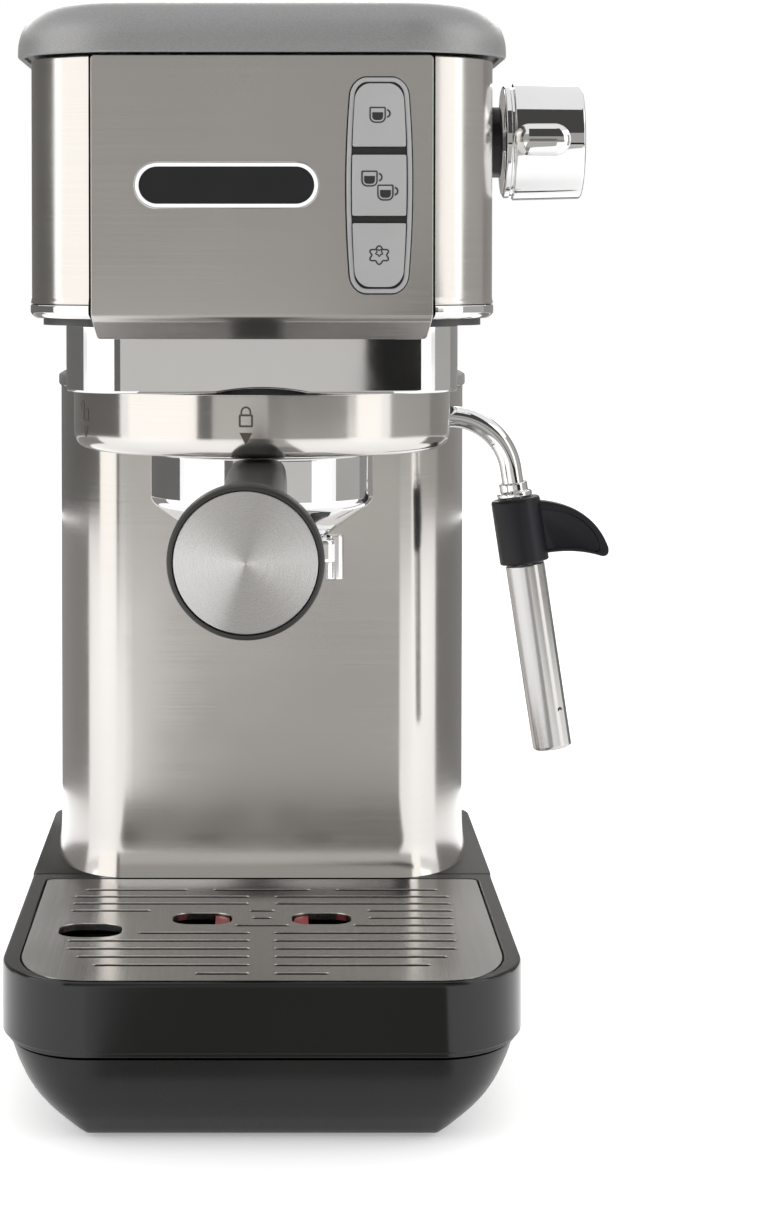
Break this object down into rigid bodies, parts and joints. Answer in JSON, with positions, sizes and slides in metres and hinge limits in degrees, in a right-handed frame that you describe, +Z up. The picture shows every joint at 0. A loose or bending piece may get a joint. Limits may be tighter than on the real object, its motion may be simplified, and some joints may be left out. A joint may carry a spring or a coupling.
{
  "type": "espresso machine",
  "caption": "Slim pump espresso machine with a locking portafilter, swivel steam wand, push buttons, lift-out drip tray and rear water tank.",
  "frame": {"origin": "on the worktop, below the middle of the base's footprint", "axes": "+X to the right seen from the front, -Y out of the front, +Z up"},
  "size_m": [0.1901, 0.3657, 0.331],
  "materials": {
    "black_plastic": "satin",
    "grey_plastic": "satin",
    "button_plastic": "satin",
    "tank_plastic": "smoked clear",
    "red_plastic": "gloss",
    "grip_rubber": "matte",
    "seal_rubber": "matte",
    "hose": "translucent silicone",
    "steel": "brushed",
    "chrome": "polished",
    "silver_paint": "satin silver",
    "cast": "cast",
    "board": "circuit board",
    "black_gloss": "gloss",
    "switch": "gloss"
  },
  "bodies": {
    "machine": {"base_pan": "black_plastic", "bottom_plate": "black_plastic", "screws": "steel", "rubber_feet": "seal_rubber", "base_deck": "black_plastic", "cord_gland": "black_plastic", "switch_frame": "switch", "column_shell": "steel", "back_wall": "black_plastic", "lip_plate": "chrome", "group_surround": "chrome", "group_collar": "steel", "group_head": "cast", "group_gasket": "seal_rubber", "shower_screen": "steel", "head_left_panel": "steel", "head_right_panel": "steel", "head_front_panel": "steel", "head_trim": "chrome", "head_frame": "grey_plastic", "top_cover": "silver_paint", "cup_plate": "steel", "button_bezel": "grey_plastic", "badge_plate": "black_gloss", "badge_rim": "chrome", "control_board": "board", "thermoblock": "cast", "pump": "black_plastic", "pump_mounts": "seal_rubber", "solenoid_valve": "black_plastic", "steam_valve": "cast", "hoses": "hose", "tank_socket": "black_plastic", "knob_bushing": "black_plastic", "wand_swivel_bush": "black_plastic"},
    "portafilter": {"portafilter_bowl": "chrome", "filter_basket": "steel", "basket_spring": "steel", "spout_block": "chrome", "handle_grip": "black_plastic", "handle_cap": "steel", "handle_bolt": "steel"},
    "steam_knob": {"steam_knob": "chrome", "valve_spindle": "steel"},
    "wand": {"wand_pipe": "chrome", "wand_nut": "chrome", "wand_grip": "grip_rubber", "wand_nozzle": "black_plastic"},
    "sleeve": {"frothing_sleeve": "steel"},
    "tray": {"drip_tray": "black_plastic"},
    "grate": {"drip_grate": "steel"},
    "float": {"tray_float": "red_plastic"},
    "tank": {"water_tank": "tank_plastic", "tank_valve": "black_plastic", "lid_pins": "steel"},
    "tank_lid": {"tank_lid": "silver_paint"},
    "rocker": {"power_rocker": "switch"},
    "one_cup_button": {"button_one_cup": "button_plastic"},
    "two_cup_button": {"button_two_cup": "button_plastic"},
    "steam_button": {"button_steam": "button_plastic"}
  },
  "joints": [
    {"name": "portafilter_turn", "type": "hinge", "parent": "machine", "child": "portafilter", "pos_m": [0, -0.056, 0.19], "axis": [0, 0, -1], "range_deg": [0, 60]},
    {"name": "steam_knob_turn", "type": "hinge", "parent": "machine", "child": "steam_knob", "pos_m": [0.08, -0.06, 0.2915], "axis": [1, 0, 0], "range_deg": [0, 300]},
    {"name": "wand_swivel", "type": "hinge", "parent": "machine", "child": "wand", "pos_m": [0.05, -0.008, 0.21], "axis": [0, 0, 1], "range_deg": [-60, 20]},
    {"name": "sleeve_pull", "type": "slide", "parent": "wand", "child": "sleeve", "axis": [0.1501, 0, -0.9887], "range_m": [0, 0.012]},
    {"name": "tray_pull", "type": "slide", "parent": "machine", "child": "tray", "axis": [0, -1, 0], "range_m": [0, 0.15]},
    {"name": "grate_lift", "type": "slide", "parent": "tray", "child": "grate", "axis": [0, 0, 1], "range_m": [0, 0.1]},
    {"name": "float_rise", "type": "slide", "parent": "tray", "child": "float", "axis": [0, 0, 1], "range_m": [0, 0.0024]},
    {"name": "tank_lift", "type": "slide", "parent": "machine", "child": "tank", "axis": [0, 0, 1], "range_m": [0, 0.27]},
    {"name": "tank_lid_open", "type": "hinge", "parent": "tank", "child": "tank_lid", "pos_m": [0, 0.1331, 0.3157], "axis": [-1, 0, 0], "range_deg": [0, 80]},
    {"name": "power_switch", "type": "hinge", "parent": "machine", "child": "rocker", "pos_m": [0.0375, 0.1325, 0.038], "axis": [1, 0, 0], "range_deg": [0, 12]},
    {"name": "one_cup_press", "type": "slide", "parent": "machine", "child": "one_cup_button", "axis": [0, 1, 0], "range_m": [0, 0.001], "stiffness_N_per_m": 400, "springref_m": -0.0005},
    {"name": "two_cup_press", "type": "slide", "parent": "machine", "child": "two_cup_button", "axis": [0, 1, 0], "range_m": [0, 0.001], "stiffness_N_per_m": 400, "springref_m": -0.0005},
    {"name": "steam_press", "type": "slide", "parent": "machine", "child": "steam_button", "axis": [0, 1, 0], "range_m": [0, 0.001], "stiffness_N_per_m": 400, "springref_m": -0.0005}
  ]
}
